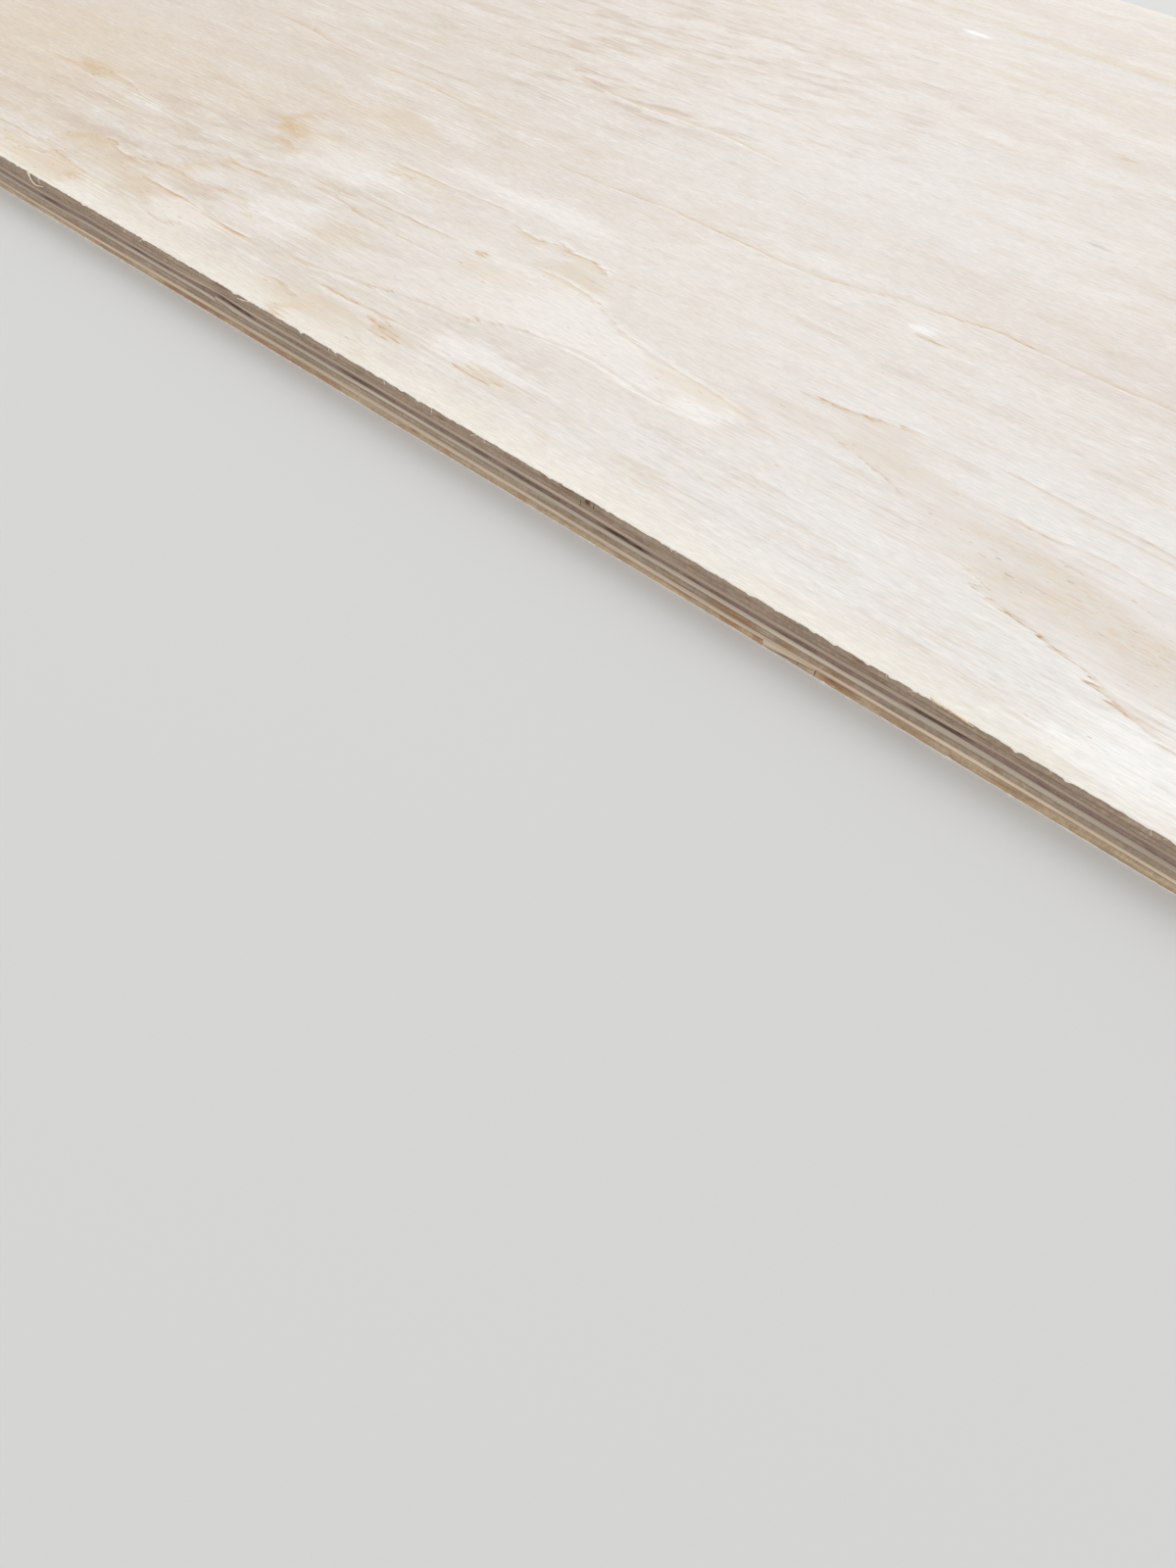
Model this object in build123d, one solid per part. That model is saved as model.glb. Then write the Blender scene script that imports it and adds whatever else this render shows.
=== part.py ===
from build123d import *

import os

# A sheet of construction plywood, lying flat. Thin face and back veneers are glued over a
# core of thicker veneers, whose grain runs in turn across and along the sheet.
# Millimetres. X is the length, Y the width, Z up. The origin is the middle of the underside.

# Sheet
sheet_length = 2440.0
sheet_width = 1220.0

# Ply thicknesses after pressing, numbered from the face down
face_veneer_thickness = 0.4
crossband_2_thickness = 2.5
crossband_3_thickness = 1.8
long_ply_4_thickness = 1.7
crossband_5_thickness = 2.0
centre_ply_6_thickness = 2.1
crossband_7_thickness = 2.4
long_ply_8_thickness = 2.0
crossband_9_thickness = 2.7
back_veneer_thickness = 0.4

# Core veneers are strips laid edge to edge: the crossbands side by side along the length,
# the long plies side by side across the width
crossband_strip_width = 1270.0
long_strip_width = 635.0
butt_joint_gap = 0.4

# One butt joint of each ply, from the middle of the sheet. The rest follow at the strip width
crossband_2_joint = 192.5
crossband_3_joint = 186.0
long_ply_4_joint = 140.0
crossband_5_joint = -560.0
crossband_7_joint = 640.0
long_ply_8_joint = -95.0

# Core gap in crossband 9, from the middle of the sheet to its left side. The ply above is
# pressed down into it, against the left strip, and has lifted by its right side
core_gap_start = 277.0
core_gap_width = 23.5
core_gap_sag = 2.2
core_gap_sag_left = 0.3
core_gap_dent = 0.4
core_gap_dent_reach = 60.0

# Core lap in the centre ply: the right length rides up over the thin end of the left one
lap_start = -36.0
lap_length = 13.0
lap_rise = 0.9
lap_glue_line = 0.1
lap_tip_thickness = 0.2
lap_lead_in = 4.0
lap_run_out = 26.0
lap_bulge_reach = 14.0
lap_dip = 0.3


# Heights of the glue lines, from the underside up
half_length = sheet_length / 2
half_width = sheet_width / 2
top_of_back_veneer = back_veneer_thickness
top_of_9 = top_of_back_veneer + crossband_9_thickness
top_of_8 = top_of_9 + long_ply_8_thickness
top_of_7 = top_of_8 + crossband_7_thickness
top_of_6 = top_of_7 + centre_ply_6_thickness
top_of_5 = top_of_6 + crossband_5_thickness
top_of_4 = top_of_5 + long_ply_4_thickness
top_of_3 = top_of_4 + crossband_3_thickness
top_of_2 = top_of_3 + crossband_2_thickness
top_of_sheet = top_of_2 + face_veneer_thickness

lap_end = lap_start + lap_length
core_gap_end = core_gap_start + core_gap_width


def glue_line(height, *bends):
    """A glue line along the length: its height, and where it rises or dips from it."""
    ends = [(-half_length, 0.0), (half_length, 0.0)]
    return [(x, height + rise) for x, rise in sorted(ends + list(bends))]


def height_at(line, x):
    """Height of a glue line at one place along the length."""
    for (x0, z0), (x1, z1) in zip(line, line[1:]):
        if x0 <= x <= x1:
            return z0 + (z1 - z0) * (x - x0) / (x1 - x0)


def stretch(line, x0, x1):
    """The points of a glue line from x0 to x1."""
    inner = [point for point in line if x0 < point[0] < x1]
    return [(x0, height_at(line, x0)), *inner, (x1, height_at(line, x1))]


def veneer(outline, y0, y1):
    """One piece of veneer: its lengthwise section, carried across the width from y0 to y1."""
    section = Face(Wire.make_polygon([(x, y0, z) for x, z in outline], close=True))
    return Solid.extrude(section, Vector(0, y1 - y0, 0))


def strip(lower, upper, x0=-half_length, x1=half_length, y0=-half_width, y1=half_width):
    """A strip of veneer that fills the space between two glue lines."""
    return veneer(stretch(lower, x0, x1) + stretch(upper, x0, x1)[::-1], y0, y1)


def laid_edge_to_edge(joint, strip_width, half_span, first_gap=butt_joint_gap):
    """Ends of the strips of one ply. The joint that is named may be wider than a butt joint."""
    joints = [(joint, joint + first_gap)]
    while joints[0][0] - strip_width > -half_span:
        right = joints[0][0] - strip_width
        joints.insert(0, (right - butt_joint_gap, right))
    while joints[-1][1] + strip_width < half_span:
        left = joints[-1][1] + strip_width
        joints.append((left, left + butt_joint_gap))
    starts = [-half_span] + [right for left, right in joints]
    ends = [left for left, right in joints] + [half_span]
    return list(zip(starts, ends))


def crossband(lower, upper, joint, first_gap=butt_joint_gap):
    """A ply with its grain across the sheet: strips side by side along the length."""
    spans = laid_edge_to_edge(joint, crossband_strip_width, half_length, first_gap)
    return [strip(lower, upper, x0=x0, x1=x1) for x0, x1 in spans]


def long_ply(lower, upper, joint):
    """A ply with its grain along the sheet: strips side by side across the width."""
    spans = laid_edge_to_edge(joint, long_strip_width, half_width)
    return [strip(lower, upper, y0=y0, y1=y1) for y0, y1 in spans]


def lapped_ply(lower, upper):
    """The centre ply: two lengths of veneer, the right one lapped over the end of the left."""
    end_of_right = (lap_start, top_of_6 + lap_rise)
    under_right = (lap_start, top_of_7 + lap_rise)
    top_of_left_end = (lap_start, top_of_7 + lap_rise - lap_glue_line)
    tip_height = height_at(lower, lap_end)
    left = [
        *stretch(lower, -half_length, lap_end),
        (lap_end, tip_height + lap_tip_thickness),
        top_of_left_end,
        (lap_start - lap_lead_in, top_of_6),
        (-half_length, top_of_6),
    ]
    clear_of_tip = (lap_end, tip_height + lap_tip_thickness + lap_glue_line)
    right = [
        under_right,
        clear_of_tip,
        *stretch(lower, lap_end + lap_lead_in, half_length),
        (half_length, top_of_6),
        (lap_start + lap_run_out, top_of_6),
        end_of_right,
    ]
    return [veneer(left, -half_width, half_width), veneer(right, -half_width, half_width)]


# Glue lines that the core lap and the core gap disturb
underside = glue_line(0.0)
line_10_9 = glue_line(top_of_back_veneer)
line_9_8 = glue_line(top_of_9)
line_8_7 = glue_line(
    top_of_8,
    (core_gap_start - core_gap_dent_reach, 0.0),
    (core_gap_start, -core_gap_dent),
    (core_gap_end, -core_gap_dent),
    (core_gap_end + core_gap_dent_reach, 0.0),
)
under_ply_8 = glue_line(
    top_of_9,
    (core_gap_start, 0.0),
    (core_gap_start + butt_joint_gap, -core_gap_sag),
    (core_gap_end - butt_joint_gap, -core_gap_sag_left),
    (core_gap_end, 0.0),
)
line_7_6 = glue_line(
    top_of_7,
    (lap_start - lap_bulge_reach, 0.0),
    (lap_end, -lap_dip),
    (lap_end + lap_bulge_reach, 0.0),
)
line_6_5 = glue_line(
    top_of_6,
    (lap_start - lap_lead_in, 0.0),
    (lap_start, lap_rise),
    (lap_start + lap_run_out, 0.0),
)
line_5_4 = glue_line(
    top_of_5,
    (lap_start - lap_bulge_reach, 0.0),
    (lap_start + lap_lead_in, lap_rise),
    (lap_start + lap_run_out + lap_lead_in, 0.0),
)
line_4_3 = glue_line(top_of_4)
line_3_2 = glue_line(top_of_3)
line_2_1 = glue_line(top_of_2)
face = glue_line(top_of_sheet)

plies = {
    "face_veneer": [strip(line_2_1, face)],
    "crossband_ply_2": crossband(line_3_2, line_2_1, crossband_2_joint),
    "crossband_ply_3": crossband(line_4_3, line_3_2, crossband_3_joint),
    "long_ply_4": long_ply(line_5_4, line_4_3, long_ply_4_joint),
    "crossband_ply_5": crossband(line_6_5, line_5_4, crossband_5_joint),
    "centre_ply_6": lapped_ply(line_7_6, line_6_5),
    "crossband_ply_7": crossband(line_8_7, line_7_6, crossband_7_joint),
    "long_ply_8": long_ply(under_ply_8, line_8_7, long_ply_8_joint),
    "crossband_ply_9": crossband(line_10_9, line_9_8, core_gap_start, core_gap_width),
    "back_veneer": [strip(underside, line_10_9)],
}

os.makedirs("parts", exist_ok=True)
for name, pieces in plies.items():
    export_step(Compound(children=pieces), f"parts/{name}.step")
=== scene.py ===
import math

import bmesh
import bpy
import numpy as np
from mathutils import Matrix, Vector, noise


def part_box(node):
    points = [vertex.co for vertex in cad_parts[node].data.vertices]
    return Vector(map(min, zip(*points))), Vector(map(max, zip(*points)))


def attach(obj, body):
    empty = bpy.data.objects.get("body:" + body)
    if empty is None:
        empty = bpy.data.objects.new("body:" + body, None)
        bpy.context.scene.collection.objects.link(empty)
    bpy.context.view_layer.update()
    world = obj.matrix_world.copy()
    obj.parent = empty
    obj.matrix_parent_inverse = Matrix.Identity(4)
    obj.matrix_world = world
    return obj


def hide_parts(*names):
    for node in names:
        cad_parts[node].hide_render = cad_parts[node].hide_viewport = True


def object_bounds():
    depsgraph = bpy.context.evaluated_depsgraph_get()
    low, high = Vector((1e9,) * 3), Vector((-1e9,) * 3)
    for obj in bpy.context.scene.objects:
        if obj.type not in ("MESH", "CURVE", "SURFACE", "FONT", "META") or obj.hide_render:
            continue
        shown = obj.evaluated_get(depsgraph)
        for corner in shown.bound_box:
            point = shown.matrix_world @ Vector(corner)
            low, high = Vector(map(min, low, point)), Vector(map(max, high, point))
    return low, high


# A sheet of construction plywood, lying flat. Metres, as the frame: X is the length and the
# grain of the face, Y the width, Z up.
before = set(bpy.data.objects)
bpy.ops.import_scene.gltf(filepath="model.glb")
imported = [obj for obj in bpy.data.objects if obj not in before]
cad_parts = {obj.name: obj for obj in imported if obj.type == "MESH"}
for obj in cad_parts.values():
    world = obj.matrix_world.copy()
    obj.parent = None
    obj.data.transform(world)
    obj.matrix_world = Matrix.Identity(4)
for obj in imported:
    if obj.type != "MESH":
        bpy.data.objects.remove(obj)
cad_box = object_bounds()
mm = 0.001
half_length, half_width, top_of_sheet = cad_box[1]

# Plies from the underside up
plies = sorted(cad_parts, key=lambda name: sum(c.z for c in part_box(name)))


def put(name, data):
    """Puts a new object in the scene: a mesh, a camera or a lamp."""
    made = bpy.data.objects.new(name, data)
    bpy.context.scene.collection.objects.link(made)
    return made


# Camera: a phone held low over the near long edge

camera_along = 420 * mm
camera_in_front = 329.3 * mm
camera_above_face = 251.1 * mm
camera_azimuth = 31.93
camera_elevation = 45.24
camera_roll = 11.22
camera_lens = 27.37
camera_sensor = 36.0
nearest_seen = 10 * mm
farthest_seen = 100.0


def photo_camera():
    """The camera where the photograph was taken, turned as it was held."""
    data = bpy.data.cameras.new("photo_camera")
    data.sensor_width = camera_sensor
    data.lens = camera_lens
    data.clip_start = nearest_seen
    data.clip_end = farthest_seen
    camera = put("photo_camera", data)
    place = Vector((camera_along, -half_width - camera_in_front, top_of_sheet + camera_above_face))
    turn = (
        Matrix.Rotation(math.radians(camera_azimuth), 4, "Z")
        @ Matrix.Rotation(math.radians(90 - camera_elevation), 4, "X")
        @ Matrix.Rotation(math.radians(camera_roll), 4, "Z")
    )
    camera.matrix_world = Matrix.Translation(place) @ turn
    bpy.context.scene.camera = camera


# What every material is made with


def linear(colour):
    """An sRGB hex colour, such as 0xECE5D9, as a linear colour."""
    channels = [(colour >> shift & 255) / 255 for shift in (16, 8, 0)]
    return [c / 12.92 if c <= 0.04045 else ((c + 0.055) / 1.055) ** 2.4 for c in channels] + [1.0]


def add(tree, kind, inputs=(), stops=None, curve=None, **settings):
    """Adds a node. A shader node's kind goes without ShaderNode in front. The inputs are nodes,
    sockets or values, in their order, or by name or number."""
    made = tree.nodes.new(kind if "Node" in kind else f"ShaderNode{kind}")
    for name, value in settings.items():
        setattr(made, name, value)
    for key, value in inputs.items() if isinstance(inputs, dict) else enumerate(inputs):
        if isinstance(value, bpy.types.Node):
            value = value.outputs[0]
        if isinstance(value, bpy.types.NodeSocket):
            tree.links.new(value, made.inputs[key])
        else:
            made.inputs[key].default_value = value
    if stops:
        elements = made.color_ramp.elements
        while len(elements) < len(stops):
            elements.new(1.0)
        for element, (place, colour) in zip(elements, stops):
            element.position = place
            element.color = colour
    if curve:
        points = made.mapping.curves[0].points
        while len(points) < len(curve):
            points.new(1.0, 1.0)
        for point, place in zip(points, curve):
            point.location = place
        made.mapping.update()
    return made


def new_material(name):
    """An empty node material, its node tree, and the node that tells a place on the piece."""
    material = bpy.data.materials.new(name)
    material.use_nodes = True
    tree = material.node_tree
    tree.nodes.clear()
    return material, tree, add(tree, "TexCoord")


def surface(tree, colour, roughness, relief=None, depth=0.0, strength=0.0):
    """Ends a material: its colour, how rough it is, and a noise that gives it fine relief."""
    inputs = {"Base Color": colour, "Roughness": roughness}
    if relief is not None:
        inputs["Normal"] = add(tree, "Bump", {"Height": relief, "Distance": depth, "Strength": strength})
    add(tree, "OutputMaterial", {"Surface": add(tree, "BsdfPrincipled", inputs)})


def grain_noise(tree, place, size, detail=2.0, roughness=0.5, shift=0.0, turn=0.0):
    """A noise whose cells measure size along X, Y and Z, in millimetres."""
    if turn:
        place = add(tree, "Mapping", {"Vector": place, "Rotation": (0.0, 0.0, math.radians(turn))})
    scale = [1 / (length * mm) for length in size]
    moved = (shift, shift * 1.7, shift * 0.6)
    place = add(tree, "Mapping", {"Vector": place, "Scale": scale, "Location": moved})
    return add(tree, "TexNoise", {"Vector": place, "Scale": 1.0, "Detail": detail, "Roughness": roughness})


def covered(tree, base, colour, pattern, start=0.0, full=1.0, most=1.0, blend="MIX"):
    """The colour base, covered with another where a pattern goes from start to full."""
    share = add(tree, "MapRange", (pattern, start, full, 0.0, most))
    mixed = add(tree, "Mix", {0: share, 6: base, 7: colour}, data_type="RGBA", blend_type=blend)
    return mixed.outputs[2]


def shaded(tree, colour, pattern, darkest, lightest):
    """A colour made darker and lighter by a noise."""
    level = add(tree, "MapRange", (pattern, 0.3, 0.7, darkest, lightest))
    return add(tree, "HueSaturation", {"Value": level, "Color": colour})


# Face veneer: radiata pine, peeled on a lathe and sanded. It is dry, matt and nearly white.
# The knife runs almost along the growth rings, so their orange latewood shows as a few thin
# lines and loops: sharp on one side, with a pale rim of raised grain that is a painted
# highlight, and fading into tan on the other

face_cream = 0xEBE4DC
face_white = 0xF4F2EE
face_pink = 0xDFD3C9
face_cool = 0xE6E4DF
face_pale = 0xF0EEEB
face_tan = 0xDCCEBE
tan_wash = 0xDEC7A0
smudge_tan = 0xCDB9A4
latewood = 0xC2935A
# Painted highlight of the pale rims along the growth lines and of the white patches
raised_grain_highlight = 0xFEFCF8
resin_brown = 0xB07F4C
# Painted highlight beside the long sawn edges
edge_highlight_cream = 0xF6F0E3
smudge_grey = 0xB3AEA6
# Pale torn fibres, with a painted highlight along the arris
torn_white_and_arris_highlight = 0xFFFAF0

# Patches of the face: colour, size of a patch along, across and through in millimetres, its
# turn from the grain in degrees, the noise where it starts and is full, and how much it covers
face_patches = (
    (face_pink, (320, 66, 90), 1, 0.42, 0.68, 0.80),
    (face_cool, (600, 150, 200), 0, 0.50, 0.68, 0.80),
    (face_white, (150, 60, 60), -5, 0.49, 0.74, 0.45),
    (tan_wash, (420, 30, 60), 1, 0.54, 0.78, 0.40),
    (face_pink, (50, 20, 30), -14, 0.48, 0.70, 0.60),
    (face_white, (40, 18, 30), 24, 0.50, 0.74, 0.35),
    (face_tan, (42, 12, 30), -8, 0.50, 0.70, 0.42),
    (tan_wash, (26, 7, 20), -6, 0.53, 0.74, 0.30),
    (face_pink, (7, 1.7, 20), 3, 0.50, 0.72, 0.50),
    (face_white, (6, 1.5, 20), -3, 0.50, 0.72, 0.50),
)
edge_fade = 30 * mm

# Cells of its finer patterns in millimetres: along the grain, across it and through the veneer
fibre_size = (60, 1.7, 8)
swirl_size = (46, 17, 40)
smudge_size = (32, 12, 30)
dash_size = (6.5, 0.9, 5)
streak_size = (13, 2.2, 20)
canal_size = (7, 1.3, 4)
fading_size = (70, 24, 30)
ring_patch_size = (600, 170, 90)

# How far single fibres pull the figure along the grain and waves push it across, and how much
# both tear the edges of its patches
fibre_pull = 26 * mm
swirl_push = 10 * mm
raggedness = 1.2

# How strong the tan wash, the orange line and the pale rim are. First by the distance from a
# growth line in millimetres, and then by the share of the way from one ring to the next
line_profile = (
    (-9.0, (0.0, 0.0, 0.0)), (-3.0, (0.35, 0.0, 0.0)), (-1.0, (0.70, 0.45, 0.0)),
    (-0.3, (0.70, 1.0, 0.0)), (0.3, (0.1, 0.2, 0.2)), (1.0, (0.0, 0.0, 0.75)), (4.6, (0.0, 0.0, 0.0)),
)
line_reach = 10.0
line_fade = 0.06
ring_profile = (
    (0.0, (0.0, 0.0, 0.4)), (0.05, (0.0, 0.0, 0.0)), (0.40, (0.0, 0.0, 0.0)), (0.88, (0.50, 0.0, 0.0)),
    (0.945, (0.75, 0.8, 0.0)), (0.972, (0.3, 0.3, 0.1)), (0.985, (0.0, 0.0, 0.4)),
)
ring_size = (1300, 95, 400)
ring_count = 7.0
ring_drift = 210 * mm

# The figure near the photographed edge. Places are in millimetres: along the sheet from its
# middle, and across it from the near edge. Each growth line has its points, the side of its
# tan wash, 1 for far and -1 for near, and the strengths of its wash, line and pale rim
leaf_near_side = (
    (-40, 44), (-11, 51), (6, 55), (32, 65), (52, 68), (76, 81), (97, 87), (113, 89), (130, 88),
    (160, 84), (171, 85), (182, 90), (189, 96), (196, 112),
)
growth_lines = (
    (((-355, 297), (-320, 296), (-242, 287), (-194, 290), (-137, 284), (-100, 281)), 1, (0.6, 0.45, 0.2)),
    (((-59, 273), (-55, 265), (-29, 263), (2, 267), (54, 269), (119, 267), (141, 271), (163, 280),
      (180, 286), (202, 291), (219, 297), (245, 295), (324, 296), (420, 295)), 1, (0.75, 0.55, 0.35)),
    (((-330, 114), (-314, 116), (-295, 124.5), (-276, 122.5), (-249, 117)), -1, (0.6, 0.5, 0.2)),
    (((-257, 169), (-240, 172), (-219, 172)), 1, (0.3, 0.6, 0.3)),
    (((-184, 184), (-181, 175), (-174, 164), (-162, 157), (-158, 148), (-152, 144), (-144, 141),
      (-133, 133)), -1, (1.0, 0.7, 0.2)),
    (((-101, 176), (-64, 180), (-33, 183), (-20, 184), (-9, 179)), -1, (0.6, 0.6, 0.5)),
    (((-4, 182), (-2, 175), (6, 170), (17, 169), (26, 176), (34, 172), (47, 173), (60, 169), (68, 163)),
     -1, (0.8, 0.6, 0.7)),
    (((-102, 159), (-89, 165), (-78, 169), (-56, 173)), 1, (0.8, 0.4, 0.2)),
    (((-106, 120), (-94, 120), (-78, 120.5)), 1, (0.6, 0.9, 0.2)),
    (((-72, 127), (-55, 128), (-35, 129), (-10, 131)), -1, (0.45, 0.7, 0.3)),
    (((-100, 113), (-53, 109), (-35, 108), (-13, 108), (2, 110), (10, 116), (15, 124)), 1,
     (0.45, 0.5, 0.2)),
    (((-150, 97), (-133, 99), (-118, 103)), -1, (0.5, 0.5, 0.3)),
    (((-262, 27), (-250, 28), (-232, 28), (-216, 30), (-209, 36)), -1, (0.5, 0.8, 0.2)),
    (((-214, 32), (-211, 47), (-206, 56), (-198, 60), (-190, 58), (-176, 55), (-161, 62), (-148, 65),
      (-133, 64), (-111, 71), (-100, 71), (-90, 63), (-74, 53)), -1, (0.9, 0.8, 0.2)),
    (((-150, 44), (-125, 45), (-98, 43)), -1, (0.6, 0.8, 0.5)),
    (((-91, 42), (-78, 42), (-63, 43)), -1, (0.8, 1.0, 0.6)),
    (((-124, 19), (-111, 19), (-101, 17), (-94, 19), (-86, 23)), 1, (0.6, 0.6, 0.4)),
    (((-222, 12), (-207, 19), (-194, 25)), 1, (0.4, 0.5, 0.2)),
    (((-200, 28), (-180, 26), (-169, 22), (-165, 13), (-162, 3)), -1, (0.8, 0.5, 0.0)),
    (((-31, 22), (-20, 23), (0, 19)), -1, (0.5, 0.6, 0.2)),
    (((35, 39), (40, 33), (46, 28), (58, 27)), 1, (0.8, 0.9, 0.3)),
    (((28, 34), (37, 31.5), (47, 31.5)), 1, (0.5, 0.9, 0.3)),
    (((36, 25), (45, 23.5), (55, 24)), 1, (0.5, 0.9, 0.3)),
    (((36, 21), (42, 17), (50, 12), (57, 4)), -1, (0.7, 0.6, 0.2)),
    (((-6, 38), (19, 37), (36, 39), (58, 42)), 1, (0.35, 0.6, 0.4)),
    (leaf_near_side[:7], 1, (0.4, 0.5, 0.3)),
    (((90, 37), (100, 36.5), (112, 37)), 1, (0.5, 0.9, 0.3)),
    (((88, 33), (100, 33.5), (111, 33)), 1, (0.5, 0.9, 0.3)),
    (((88, 41), (96, 40), (104, 40.5)), 1, (0.5, 0.7, 0.4)),
    (((88, 84), *leaf_near_side[6:]), 1, (0.0, 0.0, 1.0)),
    (((-182, 421), (-130, 401), (-43, 407), (22, 401)), 1, (0.5, 0.35, 0.5)),
    (((-70, 489), (-30, 486), (-3, 481)), 1, (0.5, 0.35, 0.3)),
    (((192, 148), (209, 151), (228, 155), (243, 160), (256, 164)), -1, (0.5, 0.8, 0.2)),
    (((199, 132), (217, 127), (235, 122), (256, 115), (275, 109)), 1, (0.3, 0.7, 0.1)),
    (((296, 165), (326, 165), (350, 166), (382, 163)), -1, (0.2, 0.5, 0.1)),
    (((328, 157), (350, 158), (378, 158)), -1, (0.2, 0.4, 0.1)),
    (((302, 127), (308, 132), (330, 133), (343, 135), (374, 134), (430, 129), (520, 137)), -1,
     (0.4, 0.6, 0.3)),
    (((334, 121), (358, 117), (374, 116), (389, 112), (450, 104)), 1, (0.4, 0.5, 0.1)),
    (((289, 79), (317, 80), (330, 69), (343, 67), (363, 61), (380, 54), (420, 41), (520, 31)), 1,
     (0.3, 0.95, 0.3)),
    (((300, 352), (420, 347), (560, 350)), 1, (0.4, 0.35, 0.2)),
)

# Areas between a near and a far growth line. Each has the points of both lines with their
# strengths, how much wash, line and pale rim the wood inside has, the shares of the way where
# that is still nothing and where it is full, and how softly it starts beside the lines
ring_areas = (
    (
        (leaf_near_side, (0.15, 0.12, 0.3)),
        (((36, 140), (66, 141), (80, 138), (97, 128), (108, 123), (128, 118), (163, 113), (180, 111),
          (196, 106)), (0.35, 0.2, 0.7)),
        (0.06, 0.0, 0.42), (0.0, 0.5), 3,
    ),
    (
        (((194, 149), (219, 136), (254, 115), (275, 104), (290, 86), (293, 80), (317, 80), (330, 69),
          (343, 67), (363, 61), (397, 47), (520, 31), (640, 26)), (0.1, 0.15, 0.2)),
        (((194, 147), (219, 150), (232, 158), (245, 161), (262, 150), (285, 134), (304, 130), (330, 134),
          (373, 136), (430, 131), (520, 139), (640, 132)), (0.15, 0.1, 0.1)),
        (0.10, 0.16, 0.0), (1.0, 0.75), 22,
    ),
)

# Listed patches: their middle, their half length and half width, and their wash, line and rim
figure_patches = (
    ((-297, 120), (34, 13), (0.6, 0.25, 0.0)),
    ((-258, 114), (28, 18), (0.4, 0.0, 0.0)),
    ((54, 150), (26, 24), (0.6, 0.1, 0.0)),
    ((-181, 178), (12, 24), (0.7, 0.25, 0.0)),
    ((-168, 160), (14, 16), (0.7, 0.25, 0.0)),
    ((-156, 147), (12, 16), (0.7, 0.3, 0.0)),
    ((-143, 138), (16, 10), (0.6, 0.2, 0.0)),
    ((-168, 14), (7, 16), (0.6, 0.15, 0.0)),
    ((14, 114), (7, 14), (0.6, 0.2, 0.0)),
    ((-148, 160), (16, 34), (0.3, 0.0, 0.0)),
    ((-210, 44), (8, 22), (0.5, 0.2, 0.0)),
    ((-147, 80), (9, 34), (0.9, 0.2, 0.0)),
    ((-46, 81), (25, 26), (0.5, 0.0, 0.0)),
    ((-184, 46), (60, 26), (0.35, 0.05, 0.0)),
    ((-190, 12), (60, 26), (0.4, 0.05, 0.0)),
    ((-128, 30), (60, 24), (0.25, 0.1, 0.0)),
    ((14, 20), (50, 18), (0.35, 0.1, 0.0)),
    ((3, 7), (9, 18), (0.7, 0.2, 0.0)),
    ((26, 116), (40, 18), (0.30, 0.05, 0.0)),
    ((48, 31), (20, 9), (0.40, 0.12, 0.0)),
    ((99, 36), (24, 9), (0.4, 0.2, 0.0)),
    ((84, 44), (52, 24), (0.0, 0.0, 0.42)),
    ((-102, 32), (40, 20), (0.0, 0.0, 0.5)),
    ((-76, 70), (60, 46), (0.0, 0.0, 0.35)),
    ((-133, 70), (30, 14), (0.0, 0.0, 0.22)),
    ((-20, 205), (90, 20), (0.0, 0.0, 0.4)),
    ((-110, 150), (60, 40), (0.0, 0.0, 0.4)),
    ((10, 129), (6, 5), (0.9, 1.0, 0.0)),
    ((165, 107), (52, 14), (0.9, 0.25, 0.0)),
    ((157, 94), (14, 8), (0.6, 0.3, 0.0)),
    ((174, 93), (34, 13), (0.0, 0.0, 0.6)),
    ((206, 255), (17, 5), (0.6, 0.8, 0.0)),
    ((196, 264), (14, 9), (0.0, 0.0, 1.0)),
    ((412, 30), (60, 44), (0.0, 0.0, 0.8)),
    ((350, 98), (90, 40), (0.2, 0.2, 0.0)),
    ((240, 128), (90, 16), (0.25, 0.15, 0.0)),
    ((62, 148), (26, 12), (0.45, 0.0, 0.0)),
    ((-80, 880), (24, 12), (0.0, 0.0, 1.0)),
    ((-40, 940), (330, 26), (0.3, 0.0, 0.0)),
    ((148, 670), (8, 5), (0.7, 0.4, 0.0)),
)

# Broad tones of the photographed part: middle, half length and half width, tone and cover
broad_tones = (
    ((-520, 190), (840, 440), face_tan, 0.66),
    ((10, 50), (230, 150), face_tan, 0.46),
    ((-500, 560), (840, 260), face_pink, 0.28),
    ((560, 110), (910, 240), face_pale, 0.78),
    ((480, 330), (550, 80), face_pink, 0.40),
    ((-163, 221), (70, 34), tan_wash, 0.30),
    ((0, 650), (300, 330), face_white, 0.18),
    ((90, 440), (300, 240), face_pale, 0.42),
    ((-250, 420), (240, 190), face_tan, 0.24),
    ((-350, 130), (260, 120), tan_wash, 0.20),
    ((140, 175), (330, 150), face_cream, 0.40),
    ((95, 105), (150, 90), face_tan, 0.20),
    ((205, 476), (11, 5), smudge_grey, 0.40),
)

# Where wavy grain leaves short dark smudges: middle, half length and half width, and cover
smudged_areas = (
    ((-460, 600), (790, 520), 0.38),
    ((-160, 570), (340, 340), 0.24),
    ((-110, 405), (190, 40), 0.60),
    ((-150, 90), (240, 150), 0.50),
)
smudge_turn = -16

# The values of a torn oval where it starts to cover, and where it covers in full
oval_edge = (1.95, 1.5)

# The figure is drawn over so many millimetres of the width. The procedural rings are faint in
# it, and they grow from each end of it to the place where they are full again
figure_depth = 1000.0
faint_rings = 0.12
figure_ends = ((-420, -660), (540, 780))


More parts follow.
